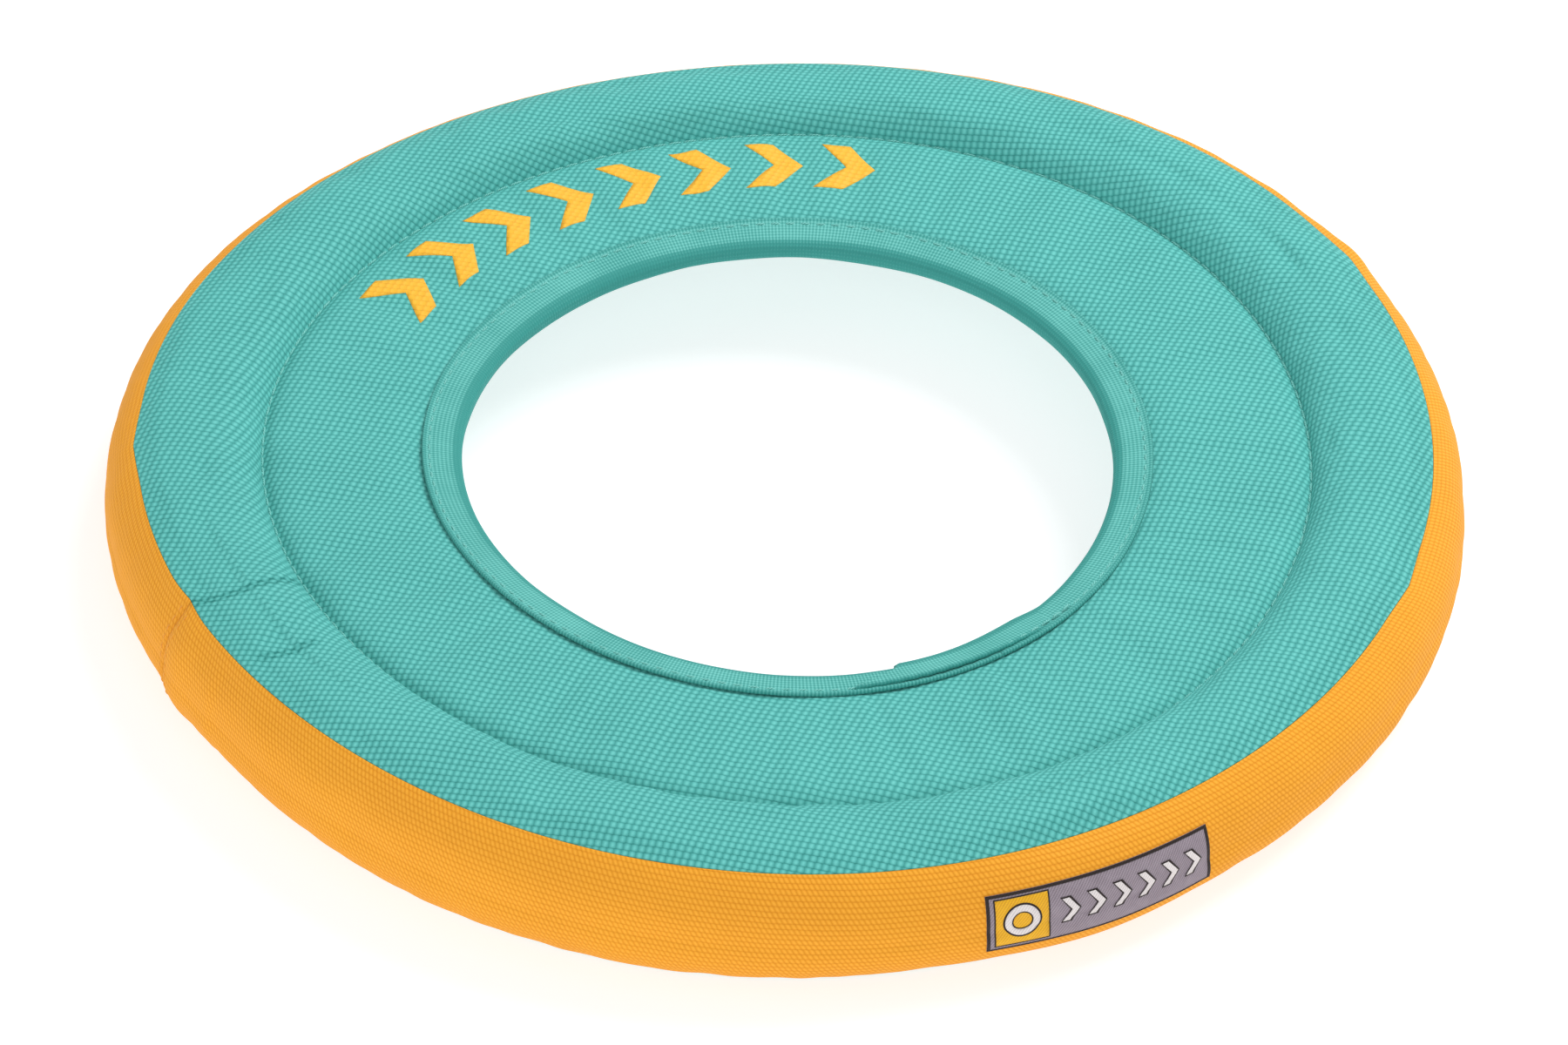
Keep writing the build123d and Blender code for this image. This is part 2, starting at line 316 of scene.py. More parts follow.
class Skin:
    """Outer face of one layer of cloth: a grid of angle round the ring by place along a path."""

    def __init__(self, path, relief=None, turns=TURN_STEPS):
        self.angles = np.linspace(0, 2 * pi, turns, endpoint=False)
        self.path = path
        self.along = path_lengths(path)
        angle = self.angles[:, None]
        self.grid = settled(angle, np.broadcast_to(path, (turns, *path.shape)))
        self.normals = normals_of(self.grid)
        if relief is not None:
            self.grid = self.grid + relief(self, angle)[..., None] * self.normals
            self.normals = normals_of(self.grid)

    def place(self, angle, along, lift=0.0):
        """Points on the skin at angles in degrees and distances along the path."""
        angle, along = np.broadcast_arrays(np.asarray(angle, float), np.asarray(along, float))
        turns = len(self.angles)
        u = (angle / 360 * turns) % turns
        v = np.interp(along, self.along, np.arange(len(self.along)))
        u0 = np.floor(u).astype(int)
        v0 = np.clip(np.floor(v).astype(int), 0, len(self.along) - 2)
        fu, fv = (u - u0)[..., None], (v - v0)[..., None]
        u1 = (u0 + 1) % turns
        u0 = u0 % turns
        result = []
        for field in (self.grid, self.normals):
            low = field[u0, v0] * (1 - fu) + field[u1, v0] * fu
            high = field[u0, v0 + 1] * (1 - fu) + field[u1, v0 + 1] * fu
            result.append(low * (1 - fv) + high * fv)
        return result[0] + np.asarray(lift)[..., None] * result[1]

    def along_at(self, radius):
        """Distance along the path to a radius. The radius has to grow along the path."""
        return np.interp(radius, self.path[:, 0], self.along)


# ---------------------------------------------------------------- cloth simulation

def torus_mesh(name, grid):
    """Mesh of a grid that closes round both axes."""
    turns, rows = grid.shape[:2]
    u, v = np.meshgrid(np.arange(turns), np.arange(rows), indexing="ij")
    u1, v1 = (u + 1) % turns, (v + 1) % rows
    corners = [u * rows + v, u * rows + v1, u1 * rows + v1, u1 * rows + v]
    faces = np.stack(corners, axis=-1).reshape(-1, 4)
    mesh = bpy.data.meshes.new(name)
    mesh.from_pydata((grid.reshape(-1, 3) * MM).tolist(), [], faces.tolist())
    return mesh


def inflate(name, grid, held):
    """The grid after the cloth has been blown up against its stitching."""
    piece = bpy.data.objects.new(name, torus_mesh(name, grid))
    bpy.context.collection.objects.link(piece)
    pins = piece.vertex_groups.new(name="held")
    rows = grid.shape[1]
    for row in np.flatnonzero(held):
        pins.add([int(turn * rows + row) for turn in range(grid.shape[0])], float(held[row]), "REPLACE")
    cloth = piece.modifiers.new("Cloth", "CLOTH")
    settings = cloth.settings
    settings.quality = 4
    settings.use_pressure = True
    settings.uniform_pressure_force = SIM_PRESSURE
    settings.shrink_min = SIM_EXTRA_CLOTH
    settings.vertex_group_mass = "held"
    settings.effector_weights.gravity = 0
    settings.bending_stiffness = 0.3
    cloth.collision_settings.use_collision = False
    cloth.point_cache.frame_end = SIM_FRAMES
    scene = bpy.context.scene
    for number in range(1, SIM_FRAMES + 1):
        scene.frame_set(number)
    shown = piece.evaluated_get(bpy.context.evaluated_depsgraph_get()).to_mesh()
    flat = np.empty(len(shown.vertices) * 3)
    shown.vertices.foreach_get("co", flat)
    scene.frame_set(1)
    bpy.data.objects.remove(piece)
    return flat.reshape(grid.shape) / MM


def puckers():
    """Relief of each panel from the cloth simulation, as coarse grids in millimetres."""
    paths = [make(SIM_PATH_STEP) for make in (top_path, band_path, bottom_path)]
    angle = np.linspace(0, 2 * pi, SIM_TURN_STEPS, endpoint=False)[:, None]
    path = np.vstack(paths)
    grid = settled(angle, np.broadcast_to(path, (SIM_TURN_STEPS, *path.shape)))
    normals = normals_of(grid)
    seed = np.array([[noise.noise(Vector(point) * 0.11) for point in line] for line in grid])
    held = np.zeros(len(path))
    held[path[:, 0] < BINDING_RADIUS] = 1
    for height in (WEB_MIDDLE + CHANNEL_HALF, WEB_MIDDLE - CHANNEL_HALF):
        held[np.argmin(np.hypot(path[:, 0] - CHANNEL_RADIUS, path[:, 1] - height))] = 1
    ends = np.cumsum([len(p) for p in paths])
    for end in ends[:2]:
        held[end - 2:end + 2] = 1
    start = grid + 0.12 * seed[..., None] * normals
    result = inflate("cover_simulation", start, held)
    moved = ((result - grid) * normals).sum(axis=-1)
    moved = moved - moved.mean(axis=0)
    moved = PUCKER_CAP * np.tanh(moved / PUCKER_CAP)
    print("pucker height, mm:", round(float(moved.std()), 3), "most", round(float(np.abs(moved).max()), 3))
    return np.split(moved, ends[:2], axis=1)


def finer(field, shape):
    """A coarse grid that closes round its first axis, drawn smoothly at a finer size."""
    turns, rows = shape
    closed = np.vstack([field, field[:1]])
    at = np.linspace(0, len(field), turns, endpoint=False)
    wide = np.column_stack([np.interp(at, np.arange(len(closed)), c) for c in closed.T])
    to = np.linspace(0, field.shape[1] - 1, rows)
    tall = np.array([np.interp(to, np.arange(field.shape[1]), line) for line in wide])
    for _ in range(2):
        tall = (np.roll(tall, 1, axis=0) + 2 * tall + np.roll(tall, -1, axis=0)) / 4
    return tall


# ---------------------------------------------------------------- meshes

def piece_of(name, points, faces, material, **layers):
    """Object with smooth faces and one point attribute for each named layer."""
    mesh = bpy.data.meshes.new(name)
    mesh.from_pydata((np.reshape(points, (-1, 3)) * MM).tolist(), [], faces)
    for key, values in layers.items():
        kind, field = ("FLOAT_VECTOR", "vector") if values.shape[-1] == 3 else ("FLOAT", "value")
        layer = mesh.attributes.new(key, kind, "POINT")
        layer.data.foreach_set(field, np.ravel(values))
    mesh.polygons.foreach_set("use_smooth", [True] * len(mesh.polygons))
    mesh.materials.append(material)
    piece = bpy.data.objects.new(name, mesh)
    bpy.context.collection.objects.link(piece)
    return piece


def quads(a, b, c, d):
    """Four-sided faces from four equal arrays of point numbers."""
    return np.stack([a, b, c, d], axis=-1).reshape(-1, 4).tolist()


def shell_faces(turns, rows, closed):
    """Faces of two equal grids, one under the other, joined at their rims."""
    outer = np.arange(turns * rows).reshape(turns, rows)
    ahead = np.roll(outer, -1, axis=0)
    if not closed:
        outer, ahead = outer[:-1], ahead[:-1]
    under = turns * rows
    faces = quads(outer[:, :-1], outer[:, 1:], ahead[:, 1:], ahead[:, :-1])
    faces += quads(
        under + outer[:, :-1], under + ahead[:, :-1], under + ahead[:, 1:], under + outer[:, 1:]
    )
    faces += quads(outer[:, 0], ahead[:, 0], under + ahead[:, 0], under + outer[:, 0])
    faces += quads(outer[:, -1], under + outer[:, -1], under + ahead[:, -1], ahead[:, -1])
    if not closed:
        first, last = outer[0], ahead[-1]
        faces += quads(first[:-1], under + first[:-1], under + first[1:], first[1:])
        faces += quads(last[:-1], last[1:], under + last[1:], under + last[:-1])
    return faces


def cloth_piece(name, outer, normals, thickness, material, cloth, closed=True, **layers):
    """Layer of cloth under a grid of outer points, with its cloth coordinates."""
    points = np.concatenate([outer, outer - thickness * normals])
    layers = {key: np.concatenate([value, value]) for key, value in layers.items()}
    both = np.concatenate([cloth, cloth])
    faces = shell_faces(*outer.shape[:2], closed)
    return piece_of(name, points, faces, material, weave=both, **layers)


def stitches(name, runs, material):
    """One mesh of rounded stitches. A run is (centres, directions, outward, length, radius)."""
    ring = -pi / 2 + np.linspace(0, 2 * pi, 8, endpoint=False)
    steps = np.linspace(-1, 1, 9)
    round_end = np.sqrt(np.clip(1.06 - steps ** 6, 0, 1))
    points, faces, threads, first = [], [], [], 0
    for centres, forward, up, length, radius in runs:
        side = np.cross(up, forward)
        reach = (steps * length / 2)[:, None]
        dip = -1.5 * radius * np.abs(steps[:, None]) ** 3
        rise = dip + radius * round_end[:, None] * np.sin(ring)
        across = radius * round_end[:, None] * np.cos(ring)
        local = (
            centres[:, None, None]
            + forward[:, None, None] * (reach + 0 * ring)[..., None]
            + up[:, None, None] * rise[..., None]
            + side[:, None, None] * across[..., None]
        )
        count = len(steps) * len(ring)
        grid = np.arange(count).reshape(len(steps), len(ring))
        turn = np.roll(grid, -1, axis=1)
        one = quads(grid[:-1], turn[:-1], turn[1:], grid[1:])
        caps = [grid[0][::-1].tolist(), grid[-1].tolist()]
        twist = np.stack(np.broadcast_arrays(reach, ring, 0.0), axis=-1)
        for number in range(len(centres)):
            start = first + number * count
            faces += [[start + corner for corner in face] for face in one + caps]
            threads.append(twist.reshape(-1, 3))
        points.append(local.reshape(-1, 3))
        first += len(centres) * count
    return piece_of(name, np.vstack(points), faces, material, weave=np.vstack(threads))


def run_on(skin, angles, along, length, radius, lift, across=False):
    """Run of stitches on a skin, along the ring or, with across, along the section."""
    here = skin.place(angles, along, lift)
    if across:
        there = skin.place(angles, np.asarray(along) + 0.5, lift)
    else:
        there = skin.place(np.asarray(angles) + 0.3, along, lift)
    forward = there - here
    forward /= np.linalg.norm(forward, axis=-1, keepdims=True)
    up = skin.place(angles, along, np.asarray(lift) + 1.0) - here
    up -= (up * forward).sum(axis=-1, keepdims=True) * forward
    up /= np.linalg.norm(up, axis=-1, keepdims=True)
    return here, forward, up, length, radius


def slab(name, skin, angles, along, levels, material, cloth, closed=False):
    """Thin layer between two levels above a skin, over a grid of angles and distances."""
    low, high = levels
    points = np.concatenate([skin.place(angles, along, high), skin.place(angles, along, low)])
    both = np.concatenate([cloth, cloth])
    return piece_of(name, points, shell_faces(*angles.shape, closed), material, weave=both)


# ---------------------------------------------------------------- materials

def tint(red, green, blue):
    """Scene colour of a screen colour from 0 to 255."""
    part = np.array([red, green, blue]) / 255
    linear = np.where(part <= 0.04045, part / 12.92, ((part + 0.055) / 1.055) ** 2.4)
    return (*linear.tolist(), 1.0)


class Paint:
    """Procedural material with short calls for its nodes."""

    def __init__(self, name, roughness=0.85, sheen=0.0, sheen_tint=(1, 1, 1, 1), specular=0.3):
        self.material = bpy.data.materials.new(name)
        self.material.use_nodes = True
        self.tree = self.material.node_tree
        self.shader = self.tree.nodes["Principled BSDF"]
        self.shader.inputs["Roughness"].default_value = roughness
        self.shader.inputs["Sheen Weight"].default_value = sheen
        self.shader.inputs["Sheen Roughness"].default_value = 0.45
        self.shader.inputs["Sheen Tint"].default_value = sheen_tint
        self.shader.inputs["Specular IOR Level"].default_value = specular

    def put(self, socket, value):
        if isinstance(value, bpy.types.NodeSocket):
            self.tree.links.new(value, socket)
        else:
            socket.default_value = value

    def made(self, kind, inputs, output=0, **settings):
        """An output of a new node, whose inputs are given by name or number."""
        node = self.tree.nodes.new(kind)
        for key, value in settings.items():
            setattr(node, key, value)
        for key, value in inputs.items():
            self.put(node.inputs[key], value)
        return node.outputs[output]

    def math(self, operation, *values):
        return self.made("ShaderNodeMath", dict(enumerate(values)), operation=operation)

    def total(self, *terms):
        """Sum of (weight, value) terms."""
        result = 0.0
        for weight, value in terms:
            result = self.math("MULTIPLY_ADD", value, weight, result)
        return result

    def field(self, name="weave"):
        """The three parts of a point attribute."""
        read = self.made("ShaderNodeAttribute", {}, "Vector", attribute_name=name)
        return self.made("ShaderNodeSeparateXYZ", {0: read}).node.outputs

    def level(self, name):
        """A point attribute of one value."""
        return self.made("ShaderNodeAttribute", {}, "Fac", attribute_name=name)

    def vector(self, *parts):
        return self.made("ShaderNodeCombineXYZ", dict(enumerate(parts)))

    def over_object(self):
        """Place on the object, in metres."""
        return self.made("ShaderNodeTexCoord", {}, "Object")

    def noise(self, scale, detail=3.0, where=None, rough=0.55):
        """Noise from 0 to 1, over the object in metres unless where is given."""
        where = self.over_object() if where is None else where
        inputs = {"Vector": where, "Scale": scale, "Detail": detail, "Roughness": rough}
        return self.made("ShaderNodeTexNoise", inputs, "Fac")

    def ramp(self, value, low, high):
        """Value from low to high drawn out to 0 to 1, smoothly."""
        inputs = {"Value": value, "From Min": low, "From Max": high}
        return self.made("ShaderNodeMapRange", inputs, "Result", interpolation_type="SMOOTHSTEP")

    def mix(self, share, first, second):
        return self.made("ShaderNodeMix", {"Factor": share, 6: first, 7: second}, 2, data_type="RGBA")

    def colour(self, value):
        self.put(self.shader.inputs["Base Color"], value)

    def rough(self, value):
        self.put(self.shader.inputs["Roughness"], value)

    def relief(self, height, depth):
        """Bump of a height from 0 to 1 that stands for depth millimetres."""
        inputs = {"Distance": depth * MM, "Height": height}
        self.put(self.shader.inputs["Normal"], self.made("ShaderNodeBump", inputs))


def plain_weave(paint, warp, weft):
    """Height of a plain weave from 0 in its gaps to 1 on the long floats of its weft.

    warp and weft are how many yarns are crossed for each millimetre in x and in y.
    """
    x, y, _ = paint.field()
    drift = paint.math("MULTIPLY", paint.math("SUBTRACT", paint.noise(45.0, 2.0), 0.5), 0.9)
    along, across = [
        paint.total((in_x * pi, x), (in_y * pi, y), (1.0, drift)) for in_x, in_y in (warp, weft)
    ]
    row = paint.math("SINE", across)
    way = paint.math("SIGN", row)
    slant = paint.math("MULTIPLY", paint.math("COSINE", across), way)
    swing = paint.math("SINE", paint.total((1.0, along), (0.6, slant)))
    place = paint.total((0.5, paint.math("MULTIPLY", swing, way)), (0.5, 1.0))
    length = paint.total((0.6, paint.math("POWER", place, 0.6)), (0.4, 1.0))
    crown = paint.math("POWER", paint.math("ABSOLUTE", row), 0.4)
    diagonal = paint.math("COSINE", paint.math("SUBTRACT", along, across))
    return paint.total((0.92, paint.math("MULTIPLY", crown, length)), (0.1, diagonal))


def fibres(paint, scale, stretch):
    """Fine noise along the yarns."""
    x, y, _ = paint.field()
    where = paint.vector(paint.math("MULTIPLY", x, stretch), y, 0.0)
    return paint.noise(scale, 4.0, where)


def distance_from(paint, x, y, spot):
    """Distance of a place on the cloth from a spot, which is a complex number."""
    squares = []
    for part, offset in ((x, spot.real), (y, spot.imag)):
        away = paint.total((1.0, part), (-offset, 1.0))
        squares.append((1.0, paint.math("MULTIPLY", away, away)))
    return paint.math("SQRT", paint.total(*squares))


def folds(paint):
    """Double rows of painted shade along the creases of the top panel, from 0 to 1."""
    x, y, _ = paint.field()
    total = 0.0
    for *places, strength in CREASES:
        on_cloth = on_plan([(cut_reach(radius), angle) for radius, angle in places])
        first, middle, last = (complex(*point) for point in on_cloth)
        centre = circle_centre(first, middle, last)
        across = distance_from(paint, x, y, centre)
        off = paint.math("ABSOLUTE", paint.total((1.0, across), (-abs(first - centre), 1.0)))
        beside = paint.math("ABSOLUTE", paint.total((1.0, off), (-0.6, 1.0)))
        rows = paint.ramp(beside, 0.6, 0.1)
        spread = abs(last - first) / 2 + 0.5
        ends = paint.ramp(distance_from(paint, x, y, (first + last) / 2), spread, spread - 2.0)
        total = paint.total((strength, paint.math("MULTIPLY", rows, ends)), (1.0, total))
    return total


def woven(name, warp, weft, dark, middle, light, depth, sheen, creased=False):
    """Woven polyester cloth in three tones of one colour."""
    paint = Paint(name, roughness=0.8, sheen=sheen, sheen_tint=light, specular=0.35)
    height = plain_weave(paint, warp, weft)
    thread = fibres(paint, 6.0, 0.25)
    patches = paint.noise(38.0, 4.0)
    # Point layer of darkening: painted shade down in the seams and along the creases, and wear at the
    # band's joint.
    wear_and_shade = paint.level("wear")
    if creased:
        wear_and_shade = paint.total((0.35, wear_and_shade), (1.0, folds(paint)))
    shade = paint.total((1.0, height), (0.35, thread), (0.25, patches), (-0.3, 1.0), (-0.6, wear_and_shade))
    body = paint.mix(paint.ramp(shade, -0.28, 0.68), dark, middle)
    paint.colour(paint.mix(paint.ramp(shade, 0.5, 1.12), body, light))
    paint.rough(paint.total((-0.18, height), (0.1, patches), (0.85, 1.0)))
    paint.relief(paint.total((1.0, height), (0.15, thread), (-0.4, wear_and_shade)), depth)
    return paint.material


def ribbed(name, dark, light, pitch, depth):
    """Narrow tape with ribs across its length."""
    paint = Paint(name, roughness=0.75, sheen=0.2, sheen_tint=light)
    x, y, _ = paint.field()
    wander = paint.noise(120.0, 2.0)
    rib = paint.math("SINE", paint.total((2 * pi / pitch, x), (2.0, wander)))
    cross = paint.math("SINE", paint.math("MULTIPLY", y, 2 * pi / 0.85))
    height = paint.total((0.26, rib), (0.2, cross), (0.5, 1.0))
    patches = paint.noise(60.0, 4.0)
    # Point layer of darkening: darker along the tape's edges, and painted shade where the tape turns down
    # into the hole.
    wear_and_shade = paint.level("wear")
    shade = paint.total((0.8, height), (0.5, patches), (-0.25, 1.0), (-0.6, wear_and_shade))
    paint.colour(paint.mix(paint.ramp(shade, -0.1, 0.95), dark, light))
    paint.relief(height, depth)
    return paint.material


def twisted(name, dark, light):
    """Sewing thread of three twisted plies."""
    paint = Paint(name, roughness=0.55, sheen=0.2, sheen_tint=light, specular=0.45)
    x, turn, _ = paint.field()
    ply = paint.math("SINE", paint.total((9.0, x), (3.0, turn)))
    height = paint.total((0.5, ply), (0.5, 1.0))
    shade = paint.total((0.7, height), (0.5, paint.noise(700.0)))
    paint.colour(paint.mix(paint.ramp(shade, 0.1, 1.0), dark, light))
    paint.relief(height, 0.06)
    return paint.material


def satin(name, dark, light, depth=0.05):
    """Finely woven label cloth with a diagonal twill."""
    paint = Paint(name, roughness=0.55, sheen=0.15, sheen_tint=light, specular=0.4)
    x, y, _ = paint.field()
    twill = paint.math("SINE", paint.total((2 * pi / 0.7, x), (2 * pi / 0.9, y)))
    yarn = paint.math("SINE", paint.math("MULTIPLY", y, 2 * pi / 0.35))
    height = paint.total((0.3, twill), (0.15, yarn), (0.5, 1.0))
    shade = paint.total((0.8, height), (0.5, paint.noise(400.0, 4.0)), (-0.15, 1.0))
    paint.colour(paint.mix(paint.ramp(shade, 0.0, 1.0), dark, light))
    paint.relief(height, depth)
    return paint.material


def printed(name, warp, weft, dark, light):
    """Ink that follows the weave under it and thins out in its gaps."""
    paint = Paint(name, roughness=0.6, specular=0.4)
    height = plain_weave(paint, warp, weft)
    shade = paint.total((0.7, height), (0.5, paint.noise(300.0, 4.0)), (0.1, 1.0))
    paint.colour(paint.mix(paint.ramp(shade, 0.0, 0.8), dark, light))
    paint.rough(paint.total((-0.15, height), (0.7, 1.0)))
    paint.relief(height, 0.12)
    return paint.material


def foam(name, dark, light):
    """Cut foam with fine cells."""
    paint = Paint(name, roughness=0.95, specular=0.15)
    inputs = {"Vector": paint.over_object(), "Scale": 900.0}
    cells = paint.made("ShaderNodeTexVoronoi", inputs, "Distance")
    pores = paint.ramp(cells, 0.1, 0.6)
    shade = paint.total((0.6, pores), (0.5, paint.noise(60.0, 5.0)))
    paint.colour(paint.mix(shade, dark, light))
    paint.relief(pores, 0.3)
    return paint.material


TEAL_WARP, TEAL_WEFT = (1.385, 0.19), (0.12, 0.69)
ORANGE_WARP, ORANGE_WEFT = (1.86, -0.3), (-0.02, 0.87)

TEAL = (tint(34, 126, 120), tint(85, 180, 174), tint(109, 203, 196))
teal_cloth = woven("teal_plain_weave", TEAL_WARP, TEAL_WEFT, *TEAL, 0.15, 0.2)
creased_teal_cloth = woven(
    "creased_teal_plain_weave", TEAL_WARP, TEAL_WEFT, *TEAL, 0.15, 0.2, creased=True
)
orange_cloth = woven(
    "orange_plain_weave", ORANGE_WARP, ORANGE_WEFT,
    tint(214, 130, 20), tint(240, 161, 36), tint(249, 176, 50), 0.08, 0.06,
)
teal_tape = ribbed("teal_ribbed_tape", tint(56, 150, 143), tint(120, 207, 199), 0.75, 0.12)
teal_thread = twisted("teal_thread", tint(70, 160, 152), tint(134, 216, 208))
orange_thread = twisted("orange_thread", tint(228, 148, 40), tint(248, 180, 72))
label_cloth = satin("grey_satin_label", tint(120, 108, 118), tint(164, 152, 163))
label_dark = satin("dark_brown_weave", tint(14, 6, 5), tint(38, 20, 17))
label_yellow = satin("yellow_weave", tint(214, 150, 8), tint(246, 190, 22))
label_pale = satin("pale_weave", tint(206, 198, 200), tint(240, 234, 232))
yellow_ink = printed(
    "yellow_ink_on_weave", TEAL_WARP, TEAL_WEFT, tint(216, 150, 34), tint(252, 189, 52)
)
core_foam = foam("grey_closed_cell_foam", tint(88, 88, 86), tint(150, 150, 146))
joint_tape = satin("tan_joint_tape", tint(178, 156, 116), tint(212, 192, 152))


# ---------------------------------------------------------------- cover

def strip_relief(angle, points):
    """Raised patch over the tape that joins the ends of the foam core."""
    start, end = CORE_JOINT
    inside = ease((apart(angle, start) + 0.5) / 1.0) * ease((0.5 - apart(angle, end)) / 1.0)
    tube = ease((points[..., 0] - CHANNEL_RADIUS) / 6)
    return 0.4 * inside * tube


def crease_lines(angle, points):
    """1 along the creases that cross the top of the tube, 0 elsewhere."""
    x, y = points[..., 0] * np.cos(angle), points[..., 0] * np.sin(angle)
    lines = 0
    for *places, strength in CREASES:
        line = arc_through(*on_plan(places), 40)
        away = np.min([np.hypot(x - px, y - py) for px, py in line], axis=0)
        lines = lines + strength * bump(away, 2.0)
    return lines


def unevenness(skin, size, height):
    """Smooth seeded noise over a skin, in millimetres."""
    coarse = skin.grid[::8, ::4]
    drawn = np.array([[noise.noise(Vector(p) / size) for p in line] for line in coarse])
    return height * finer(drawn, skin.grid.shape[:2])


def under_label(angle):
    """1 where the label holds the band smooth, 0 elsewhere."""
    middle, half = (LABEL_START + LABEL_END) / 2, (LABEL_END - LABEL_START) / 2
    return ease((half + 2.5 - np.abs(apart(angle, middle))) / 5)


def cover_relief(pucker, share=1.0, stiffened=0.0):
    """Relief of a panel: a share of its puckers, the joint under it and slight unevenness."""
    def relief(skin, angle):
        points = np.broadcast_to(skin.path, skin.grid.shape[:2] + (2,))
        shape = share * (finer(pucker, skin.grid.shape[:2]) + unevenness(skin, 23.0, 0.35))
        shape = shape * (1 - stiffened * under_label(angle)) + bulges(skin, angle)
        joint = strip_relief(angle, points)
        creases = 0.3 * crease_lines(angle, points) * (skin.path[:, 1] > 24)
        return (shape + joint - creases) * edge_hold(skin) * channel_hold(skin)
    return relief


def bulges(skin, angle):
    """Places where the band or the panel beside it swells between its folds."""
    low = (skin.path[:, 0] > 122)[None, :]
    return sum(h * bump(apart(angle, place), width) for place, width, h in BULGES) * low


def edge_hold(skin):
    """0 at both ends of a skin's path, as far as its seams, and 1 a few millimetres in."""
    left = ease((skin.along - SEAM_DEPTH) / 4)
    right = ease((skin.along[-1] - SEAM_DEPTH - skin.along) / 4)
    return (left * right)[None, :]


def channel_hold(skin):
    """0 at the stitched channel, where the cloth lies flat, and 1 some way from it."""
    away = np.hypot(skin.path[:, 0] - CHANNEL_RADIUS, skin.path[:, 1] - WEB_MIDDLE)
    return ease((away - 0.5) / 7)[None, :]


def flat_cut(skin, start):
    """Cloth coordinates of a panel that was cut flat: distances from the middle of the ring."""
    reach = start + skin.along
    angle = skin.angles[:, None]
    return np.stack([reach * np.cos(angle), reach * np.sin(angle), 0 * angle * reach], axis=-1)


top_pucker, band_pucker, bottom_pucker = puckers()
top = Skin(top_path(PATH_STEP, FINEST_TURN), cover_relief(top_pucker))
band = Skin(band_path(PATH_STEP, FINEST_TURN), cover_relief(band_pucker, 0.4, 0.85))
bottom = Skin(bottom_path(PATH_STEP, FINEST_TURN), cover_relief(bottom_pucker))
bottom.grid[..., 2] = np.maximum(bottom.grid[..., 2], 0.0)


def panel_wear(skin):
    """Painted shade on a panel: darker along the creases and down in the seam, where shade falls."""
    points = np.broadcast_to(skin.path, skin.grid.shape[:2] + (2,))
    lines = crease_lines(skin.angles[:, None], points)
    depth = SIDE_ARC - np.hypot(*(skin.path - TUBE_CENTRE).T)
    seam = ease((depth + 0.5) / 1.0) * (skin.path[:, 0] > 128)
    return lines + 0.5 * seam[None, :]


def top_panel():
    return cloth_piece(
        "top_panel_cloth", top.grid, top.normals, FABRIC, creased_teal_cloth,
        # painted shade along the creases and down in the seam
        flat_cut(top, WEB_HALF[0][0]), wear=panel_wear(top)[..., None],
    )


def bottom_panel():
    """Bottom panel. The first row of its cloth coordinates, hidden in the seam, is all zero."""
    # painted shade along the creases and down in the seam
    wear = panel_wear(bottom)[..., None]
    start = WEB_HALF[0][0] + bottom.along[-1]
    cloth = flat_cut(bottom, 0.0)
    scale = (start - bottom.along) / np.maximum(bottom.along, 1e-6)
    cloth[..., :2] *= scale[None, :, None]
    return cloth_piece(
        "bottom_panel_cloth", bottom.grid, bottom.normals, FABRIC, teal_cloth, cloth, wear=wear
    )


def band_strip():
    """The side band as a strip that starts and ends at its joint, with its ends turned in."""
    first = int(round(BAND_JOINT / 360 * TURN_STEPS))
    order = (first + np.arange(TURN_STEPS + 1)) % TURN_STEPS
    grid, normals = band.grid[order].copy(), band.normals[order]
    run = np.arange(TURN_STEPS + 1) * 2 * pi * OUTER_RADIUS / TURN_STEPS
    near = np.minimum(run, run[-1] - run)
    turned = 0.35 * bump(near, 1.3)
    grid -= (turned[:, None] * edge_hold(band))[..., None] * normals
    gap = 0.03 * np.sign(run - run[-1] / 2) * (near < 2)
    around = np.roll(grid, -1, axis=0) - grid
    around /= np.maximum(np.linalg.norm(around, axis=-1, keepdims=True), 1e-6)
    grid -= gap[:, None, None] * around
    cloth = np.stack(np.broadcast_arrays(run[:, None], band.along[None, :], 0.0), axis=-1)
    wear = np.broadcast_to(0.3 * bump(near, 1.3)[:, None, None], (*grid.shape[:2], 1))
    return cloth_piece(
        "side_band_cloth", grid, normals, FABRIC, orange_cloth, cloth, closed=False, wear=wear
    )


# ---------------------------------------------------------------- filling

CORE_CENTRE, CORE_ROUND = (122.8, 14.9), 13.2
WEB_FOAM = (72.6, 104.4)
FOAM_CLEARANCE = 1.4
JOINT_AT, JOINT_TAPE_SPREAD = 208.0, 9.0
JOINT_TAPE_FACES = (0.33, 0.08)


def round_section(centre, radius, count=48):
    """Closed circle in the section, in the sense that has its outside facing out."""
    turn = -np.linspace(0, 2 * pi, count, endpoint=False)
    return np.column_stack([centre[0] + radius * np.cos(turn), centre[1] + radius * np.sin(turn)])


def rod(name, start, sweep, section, material, steps):
    """Solid of a closed section carried round part of the ring, with flat ends."""
    angles = np.radians(np.linspace(start, start + sweep, steps))[:, None]
    points = settled(angles, np.broadcast_to(section, (steps, *section.shape)))
    rows = len(section)
    grid = np.arange(steps * rows).reshape(steps, rows)
    turn = np.roll(grid, -1, axis=1)
    faces = quads(grid[:-1], turn[:-1], turn[1:], grid[1:])
    faces += [grid[0][::-1].tolist(), grid[-1].tolist()]
    run = np.broadcast_to(angles * OUTER_RADIUS, points.shape[:2])
    cloth = np.stack([run, points[..., 2], 0 * run], axis=-1)
    return piece_of(name, points, faces, material, weave=cloth)


def core_ring():
    section = round_section(CORE_CENTRE, CORE_ROUND)
    return rod("core_foam_ring", JOINT_AT + 0.15, 359.7, section, core_foam, 360)


